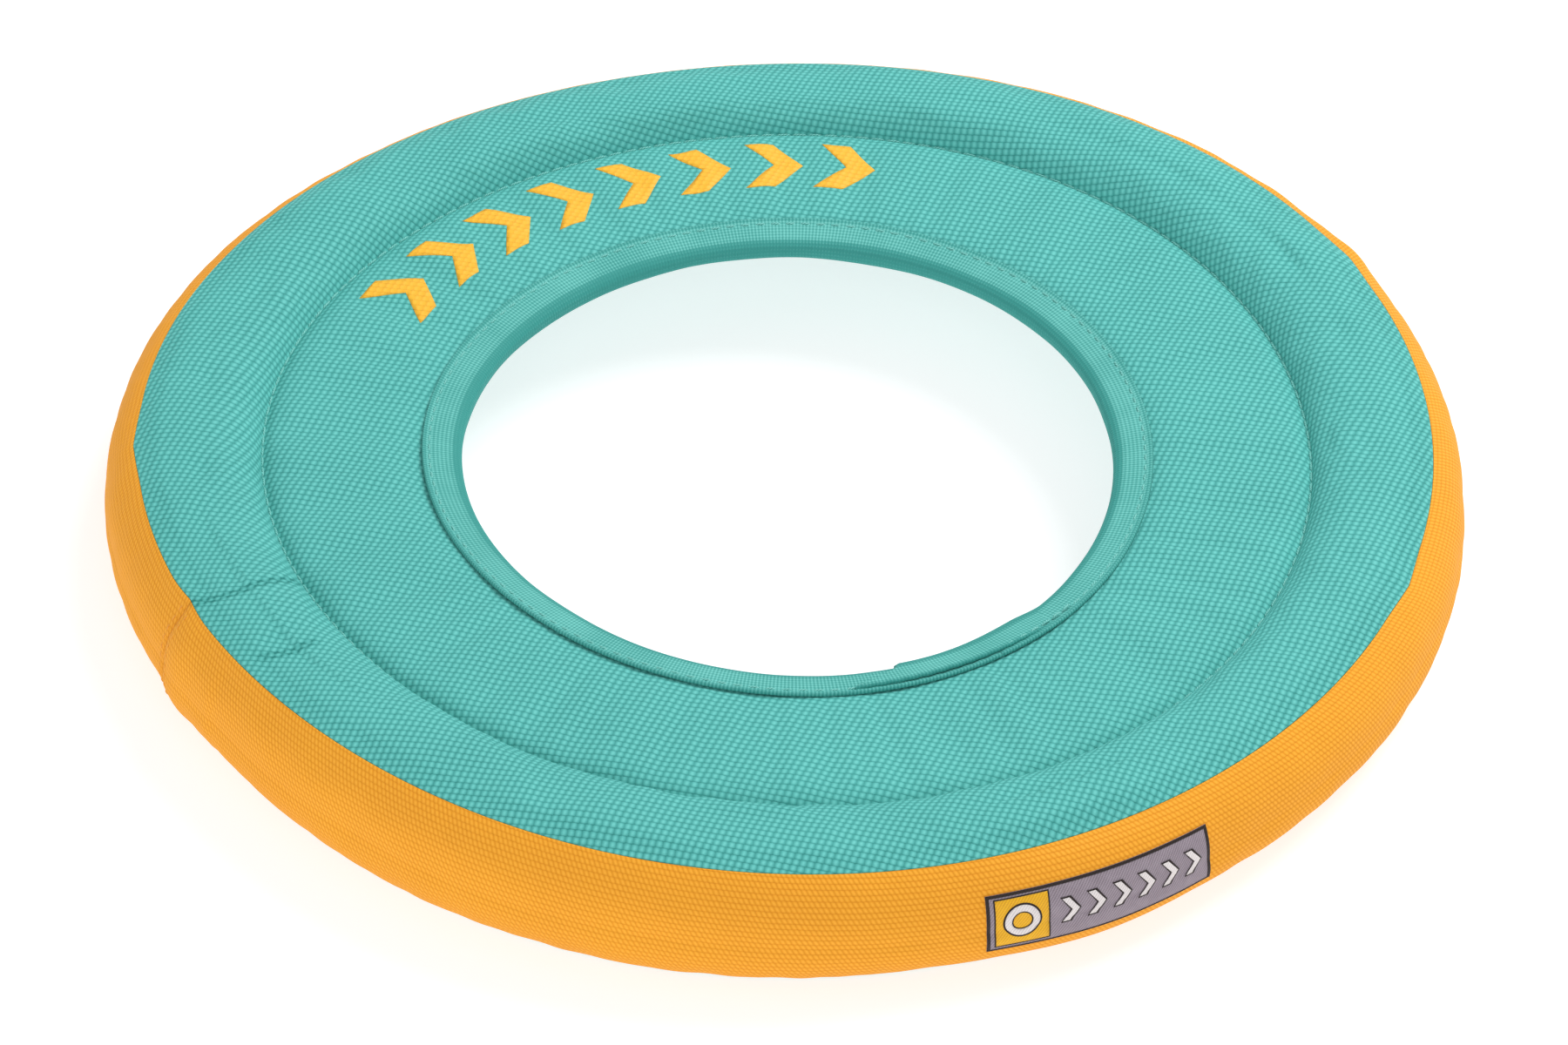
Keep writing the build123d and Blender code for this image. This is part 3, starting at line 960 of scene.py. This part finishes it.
def core_joint_tape():
    """Sleeve of tape round the joint of the core."""
    steps = 24
    start = JOINT_AT - JOINT_TAPE_SPREAD / 2
    angles = np.radians(np.linspace(start, start + JOINT_TAPE_SPREAD, steps))[:, None]
    layers = []
    for gap in JOINT_TAPE_FACES:
        section = round_section(CORE_CENTRE, CORE_ROUND + gap)
        layers.append(settled(angles, np.broadcast_to(section, (steps, *section.shape))))
    points = np.concatenate(layers)
    grid = np.arange(steps * points.shape[1]).reshape(steps, -1)
    turn, under = np.roll(grid, -1, axis=1), grid.size
    faces = quads(grid[:-1], turn[:-1], turn[1:], grid[1:])
    faces += quads(under + grid[:-1], under + grid[1:], under + turn[1:], under + turn[:-1])
    faces += quads(grid[0], under + grid[0], under + turn[0], turn[0])
    faces += quads(grid[-1], turn[-1], under + turn[-1], under + grid[-1])
    run = np.broadcast_to(np.concatenate([angles, angles]) * OUTER_RADIUS, points.shape[:2])
    cloth = np.stack([run, points[..., 2], 0 * run], axis=-1)
    return piece_of("core_joint_tape_sleeve", points, faces, joint_tape, weave=cloth)


def web_foam():
    """Thin sheet of foam in the web, clear of the cloth over and under it."""
    radius = np.linspace(*WEB_FOAM, 28)
    half = np.maximum(np.interp(radius, *np.transpose(WEB_HALF)) - FOAM_CLEARANCE, 0.25)
    middle = WEB_MIDDLE - droop(radius)
    upper, lower = np.column_stack([radius, middle + half]), np.column_stack([radius, middle - half])
    section = np.vstack([upper, lower[::-1]])
    return rod("web_foam_sheet", 0.0, 360 - 360 / TURN_STEPS, section, core_foam, 360)


# ---------------------------------------------------------------- bound edge of the hole

BINDING_STITCH = 75.2
BINDING_STITCHES = 148
TAIL_LIFT = 0.65
TAIL_SLANT = 8.0


def tape_relief(skin, angle):
    """The tape is pulled in a little by each of its stitches."""
    rows = skin.path
    stitch = bump(rows[:, 0] - BINDING_STITCH, 1.0) * (np.abs(rows[:, 1] - WEB_MIDDLE) > 2)
    pull = 0.22 * stitch[None, :] * (0.6 + 0.4 * np.cos(BINDING_STITCHES * angle))
    edge = 0.15 * ease((rows[:, 0] - BINDING_RADIUS + 1.5) / 1.5)
    return unevenness(skin, 14.0, 0.22) - pull + edge[None, :]


binding = Skin(binding_path(0.5), tape_relief)
tail_skin = Skin(binding_path(0.5, TAIL_LIFT, BINDING_RADIUS - 1.1), tape_relief)


def tape_cloth(skin, angles):
    """Cloth coordinates of a tape: along the ring and across the tape."""
    run = angles[:, None] * BINDING_RADIUS
    return np.stack(np.broadcast_arrays(run, skin.along[None, :], 0.0), axis=-1)


def tape_wear(skin, along):
    """Darkening of a tape: darker along both its edges, and painted shade where it turns down into the
    hole.
    """
    edge = np.minimum(along, skin.along[-1] - along)
    radius = np.interp(along, skin.along, skin.path[:, 0])
    return (0.5 * bump(edge, 1.0) + 0.95 * ease((71.1 - radius) / 1.6))[..., None]


def turns_between(start, end):
    """Grid numbers from one angle to another, past the end of the grid where need be."""
    first, last = (int(round(angle / 360 * TURN_STEPS)) for angle in (start, end))
    return np.arange(first, last + 1)


def inner_binding():
    """Tape folded over the edge of the hole. Its ends all but meet, under the lap."""
    start = TAIL_START + 360 + 16
    turns = turns_between(start, start + 360)
    order = turns % TURN_STEPS
    grid = binding.grid[order]
    grid[-1] += 0.02 * (grid[-2] - grid[-1])
    return cloth_piece(
        "inner_binding_tape", grid, binding.normals[order], TAPE, teal_tape,
        tape_cloth(binding, turns * 2 * pi / TURN_STEPS), closed=False,
        wear=tape_wear(binding, np.broadcast_to(binding.along, grid.shape[:2])),
    )


def binding_lap():
    """The tape's end, lying over its start and a little narrower, and sinking into it."""
    share, along = np.meshgrid(np.linspace(0, 1, 72), tail_skin.along, indexing="ij")
    radius = np.interp(along, tail_skin.along, tail_skin.path[:, 0])
    upper = np.interp(along, tail_skin.along, tail_skin.path[:, 1]) > WEB_MIDDLE
    slant = TAIL_SLANT * ease((radius - 69) / 7) * upper
    angles = TAIL_START - slant + share * (TAIL_END - TAIL_START + slant)
    raised = bump(share - 0.4, 0.5) * ease((radius - 72) / 4) * upper
    sunk = (TAIL_LIFT + 0.3) * ease((share - 0.72) / 0.28)
    tuck = 0.4 * (1 - ease(share / 0.03))
    grid = tail_skin.place(angles, along, 0.5 * raised - sunk - tuck)
    normals = tail_skin.place(angles, along, 1.0) - tail_skin.place(angles, along)
    run = np.radians(angles) * BINDING_RADIUS
    cloth = np.stack([run, along, 0 * run], axis=-1)
    return cloth_piece(
        "inner_binding_lap", grid, normals, TAPE, teal_tape, cloth,
        closed=False, wear=tape_wear(tail_skin, along),
    )


# ---------------------------------------------------------------- stitching

CHANNEL_STITCHES = 202
CHANNEL_STITCH_SIZE = (3.3, 0.26, 0.22)
SEAM_STITCHES = 330
SEAM_STITCH_DEPTH = 0.9


def spaced(count):
    """Angles of evenly spaced stitches round the ring."""
    return np.arange(count) * 360 / count


def channel_thread():
    """Row of stitches in the channel, on both faces."""
    places = spaced(CHANNEL_STITCHES)
    upper = run_on(top, places, top.along_at(CHANNEL_RADIUS), *CHANNEL_STITCH_SIZE)
    low = np.argmin(np.abs(bottom.path[:, 0] - CHANNEL_RADIUS) + 9 * (bottom.path[:, 1] < 20))
    lower = run_on(bottom, places + 0.9, bottom.along[low], *CHANNEL_STITCH_SIZE)
    return stitches("channel_stitches", [upper, lower], teal_thread)


def binding_thread():
    """Row of stitches through the tape, on both faces."""
    places = spaced(BINDING_STITCHES)
    high = binding.along[-1] - (BINDING_RADIUS - BINDING_STITCH)
    low = BINDING_RADIUS - BINDING_STITCH
    from_lap = np.abs(apart(np.radians(places), (TAIL_START + TAIL_END) / 2))
    on_lap = from_lap < (TAIL_END - TAIL_START) / 2
    lift = np.where(on_lap, TAIL_LIFT + 0.12, 0.12)
    upper = run_on(binding, places, high, 2.5, 0.24, lift)
    lower = run_on(binding, places, low, 2.5, 0.24, lift)
    return stitches("binding_stitches", [upper, lower], teal_thread)


def seam_thread(name, along):
    """Stitches down in a seam of the side band."""
    run = run_on(band, spaced(SEAM_STITCHES), along, 2.1, 0.2, 0.1)
    return stitches(name, [run], orange_thread)


def band_joint_thread():
    """Two short rows of stitches beside the joint of the band."""
    runs = []
    along = band.along[-1] / 2 + np.arange(-13.2, 13.3, 2.4)
    for side in (-1, 1):
        angles = np.full(len(along), BAND_JOINT + side * 0.75)
        runs.append(run_on(band, angles, along, 1.7, 0.16, 0.04, across=True))
    return stitches("band_joint_stitches", runs, orange_thread)


# ---------------------------------------------------------------- label

EMBLEM = (LABEL_START + 0.75, LABEL_START + 5.2, LABEL_LOW + 4.0, LABEL_HIGH - 4.6)
BORDER_SWEEP, BORDER_HIGH, BORDER_LOW = 0.28, 2.4, 1.0
WHOLE_LABEL = (LABEL_START, LABEL_END, LABEL_LOW, LABEL_HIGH)
ARROWS, FIRST_ARROW, ARROW_PITCH = 6, LABEL_START + 7.1, 2.3
LABEL_LEVELS = (0.04, 0.22)
PRINT_LEVELS = (0.24, 0.3)
OUTLINE_LEVELS = (0.28, 0.35)
TOP_LEVELS = (0.33, 0.4)


def band_along(section_angle):
    """Distance along the band's path to an angle of the section."""
    angles = np.degrees(np.arctan2(*(band.path - TUBE_CENTRE).T[::-1]))
    return np.interp(-section_angle, -angles[2:-2], band.along[2:-2])


def on_band(name, angles, along, levels, material, closed=False):
    """Thin layer on the band, over a grid of angles and distances down the band."""
    cloth = np.stack([np.radians(angles) * OUTER_RADIUS, along, 0 * along], axis=-1)
    return slab(name, band, angles, along, levels, material, cloth, closed)


def label_field(name, start, end, low, high, levels, material, size=0.8):
    """Rectangular layer on the label, between two angles and two section angles."""
    angles = np.linspace(start, end, max(3, int((end - start) * 2.4 / size)))
    top_edge, bottom_edge = band_along(high), band_along(low)
    along = np.linspace(top_edge, bottom_edge, max(3, int((bottom_edge - top_edge) / size)))
    angles, along = np.meshgrid(angles, along, indexing="ij")
    return on_band(name, angles, along, levels, material)


def side_label():
    """The label's cloth, a little clear of the band."""
    return label_field("side_label_cloth", *WHOLE_LABEL, LABEL_LEVELS, label_cloth)


def frame_loop(start, end, low, high, count):
    """Points round a rectangle of the label, as (angle, distance along the band)."""
    top_edge, bottom_edge = band_along(high), band_along(low)
    corners = np.array([
        (start, top_edge), (start, bottom_edge), (end, bottom_edge), (end, top_edge),
        (start, top_edge),
    ])
    at = np.linspace(0, 4, 4 * count, endpoint=False)
    return np.column_stack([np.interp(at, range(5), corners[:, k]) for k in (0, 1)])


def label_frame(name, outer, inner, levels, material):
    """Woven line between two rectangles of the label."""
    rims = frame_loop(*outer, 40), frame_loop(*inner, 40)
    share = np.linspace(0, 1, 4)[None, :]
    grids = [rims[0][:, k, None] * (1 - share) + rims[1][:, k, None] * share for k in (0, 1)]
    return on_band(name, *grids, levels, material, closed=True)


def label_ring(name, radii, levels, material):
    """Flat ring woven in the middle of the emblem."""
    turn = np.linspace(0, 2 * pi, 48, endpoint=False)[:, None]
    size = np.linspace(*radii, 4)[None, :]
    start, end, low, high = EMBLEM
    angles = (start + end) / 2 + np.degrees(size * np.cos(turn) / OUTER_RADIUS)
    along = band_along((low + high) / 2) + size * np.sin(turn)
    return on_band(name, angles, along, levels, material, closed=True)


def label_dark_parts():
    """Dark lines: round the label, round the emblem, and under the ring and the arrowheads."""
    inner = (
        LABEL_START + BORDER_SWEEP, LABEL_END - BORDER_SWEEP,
        LABEL_LOW + BORDER_LOW, LABEL_HIGH - BORDER_HIGH,
    )
    start, end, low, high = EMBLEM
    around_emblem = (start - 0.12, end + 0.12, low - 1.0, high + 1.0)
    parts = [
        label_frame("label_border", WHOLE_LABEL, inner, PRINT_LEVELS, label_dark),
        label_frame("emblem_border", around_emblem, EMBLEM, PRINT_LEVELS, label_dark),
        label_ring("ring_outline", (1.9, 4.0), OUTLINE_LEVELS, label_dark),
    ]
    return parts + arrow_row("arrow_outline", (4.35, 6.2, 2.25), OUTLINE_LEVELS, label_dark)


def label_pale_parts():
    """Pale arrowheads and the pale ring of the emblem."""
    ring = label_ring("pale_ring", (2.2, 3.6), TOP_LEVELS, label_pale)
    return [ring] + arrow_row("pale_arrow", (3.6, 5.6, 1.5), TOP_LEVELS, label_pale)


def label_emblem():
    """Yellow square."""
    return label_field("label_emblem_weave", *EMBLEM, PRINT_LEVELS, label_yellow)


def arrowhead(length, height, stroke, rows=15):
    """Grid over a flat arrowhead that points along +X, in millimetres."""
    y = np.linspace(-height / 2, height / 2, rows)
    front = length / 2 - np.abs(y) * (length - stroke) / (height / 2)
    share = np.linspace(0, 1, 6)
    x = front[:, None] - stroke * share[None, :]
    return x, np.broadcast_to(y[:, None], x.shape)


def arrow_row(name, size, levels, material):
    """Row of small arrowheads along the grey field."""
    middle = band_along((LABEL_LOW + LABEL_HIGH) / 2)
    x, y = arrowhead(*size, 9)
    row = []
    for index in range(ARROWS):
        angles = FIRST_ARROW + ARROW_PITCH * index + np.degrees(x / OUTER_RADIUS)
        row.append(on_band(f"{name}_{index + 1}", angles, middle + y, levels, material))
    return row


def web_print():
    """Ring of large arrowheads printed on the web."""
    x, y = arrowhead(PRINT_LENGTH, PRINT_HEIGHT, PRINT_STROKE, 25)
    middle = top.along_at(PRINT_RADIUS)
    marks = []
    for index in range(PRINT_COUNT):
        along = middle + y
        turn = np.degrees(x / (PRINT_RADIUS + y))
        angles = PRINT_FIRST + PRINT_PITCH * index - turn
        reach = WEB_HALF[0][0] + along
        spread = np.radians(angles)
        cloth = np.stack([reach * np.cos(spread), reach * np.sin(spread), 0 * reach], axis=-1)
        name = f"web_chevron_{index + 1}"
        marks.append(slab(name, top, angles, along, (-0.1, 0.09), yellow_ink, cloth))
    return marks


# ---------------------------------------------------------------- pieces and their places

def join(name, pieces):
    """One piece of several that share a material."""
    with bpy.context.temp_override(active_object=pieces[0], selected_editable_objects=pieces):
        bpy.ops.object.join()
    pieces[0].name = name
    return pieces[0]


def place(piece, node, slot, fill=None):
    """Puts a piece on the ring in the place of its CAD node."""
    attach(piece, "root")
    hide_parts(node)


place(top_panel(), "top_panel", "teal_fabric", fill=0.8)
place(bottom_panel(), "bottom_panel", "teal_fabric", fill=0.8)
place(band_strip(), "side_band", "orange_fabric", fill=0.8)
place(core_ring(), "core_ring", "core_foam", fill=1.0)
place(web_foam(), "web_foam", "core_foam", fill=1.0)
place(core_joint_tape(), "core_joint_tape", "joint_tape")
place(join("inner_binding_tape", [inner_binding(), binding_lap()]), "inner_binding", "teal_tape")
place(channel_thread(), "channel_thread", "teal_thread")
place(binding_thread(), "binding_thread", "teal_thread")
place(
    seam_thread("top_seam_stitches", SEAM_STITCH_DEPTH),
    "top_seam_thread", "orange_thread",
)
place(
    seam_thread("bottom_seam_stitches", band.along[-1] - SEAM_STITCH_DEPTH),
    "bottom_seam_thread", "orange_thread",
)
place(band_joint_thread(), "band_joint_thread", "orange_thread")
place(side_label(), "side_label", "label_cloth")
place(join("label_dark_weave", label_dark_parts()), "label_border", "label_dark")
place(label_emblem(), "label_emblem", "label_yellow")
place(join("label_pale_weave", label_pale_parts()), "label_chevrons", "label_pale")
place(join("web_print_ink", web_print()), "web_print", "yellow_ink")


# ---------------------------------------------------------------- floor, light and camera

FLOOR_HALF = 4.0
LIGHTS = {
    "key": ((0.9, 0.8, 1.5), 1.2, 29.0),
    "fill": ((0.1, -1.7, 1.0), 1.6, 10.5),
    "side": ((-1.7, -0.5, 0.5), 1.3, 7.5),
}


def floor():
    """Plain pale floor."""
    paint = Paint("pale_floor", roughness=0.9, specular=0.1)
    paint.colour(paint.mix(paint.noise(2.0), tint(182, 182, 183), tint(186, 186, 186)))
    paint.shader.inputs["Emission Color"].default_value = (1, 1, 1, 1)
    paint.shader.inputs["Emission Strength"].default_value = 0.7
    half = FLOOR_HALF / MM
    corners = [(-half, -half, 0), (half, -half, 0), (half, half, 0), (-half, half, 0)]
    lowered = np.array(corners, float) - (0, 0, 0.05)
    piece_of("floor", lowered, [[0, 1, 2, 3]], paint.material)


def studio():
    """Soft lamps round the ring, under a bright even surround."""
    for name, (spot, size, power) in LIGHTS.items():
        data = bpy.data.lights.new(name, "AREA")
        data.shape, data.size, data.energy = "DISK", size, power
        lamp = bpy.data.objects.new(name, data)
        lamp.location = spot
        lamp.rotation_euler = (-Vector(spot)).to_track_quat("-Z", "Y").to_euler()
        bpy.context.collection.objects.link(lamp)
    world = bpy.data.worlds.new("surround")
    world.use_nodes = True
    world.node_tree.nodes["Background"].inputs["Color"].default_value = (1, 1, 1, 1)
    world.node_tree.nodes["Background"].inputs["Strength"].default_value = 0.42
    bpy.context.scene.world = world
    bpy.context.scene.view_settings.view_transform = "Standard"


def camera():
    """Long lens, in front of the ring and well above it."""
    tilt = radians(CAMERA_ELEVATION)
    back = Vector((0, -cos(tilt), sin(tilt)))
    up = Vector((0, sin(tilt), cos(tilt)))
    centre = Vector(RING_CENTRE)
    spot = centre + back * CAMERA_DISTANCE
    aim = centre + Vector((AIM_RIGHT, 0, 0)) + up * AIM_UP
    look = (aim - spot).to_track_quat("-Z", "Y").to_matrix()
    turn = look @ Matrix.Rotation(radians(CAMERA_ROLL), 3, "Z")
    data = bpy.data.cameras.new("camera")
    data.lens, data.sensor_width = CAMERA_LENS, 36.0
    data.clip_start, data.clip_end = 0.1, 50.0
    eye = bpy.data.objects.new("camera", data)
    eye.matrix_world = Matrix.Translation(spot * MM) @ turn.to_4x4()
    bpy.context.collection.objects.link(eye)
    bpy.context.scene.camera = eye


floor()
studio()
camera()
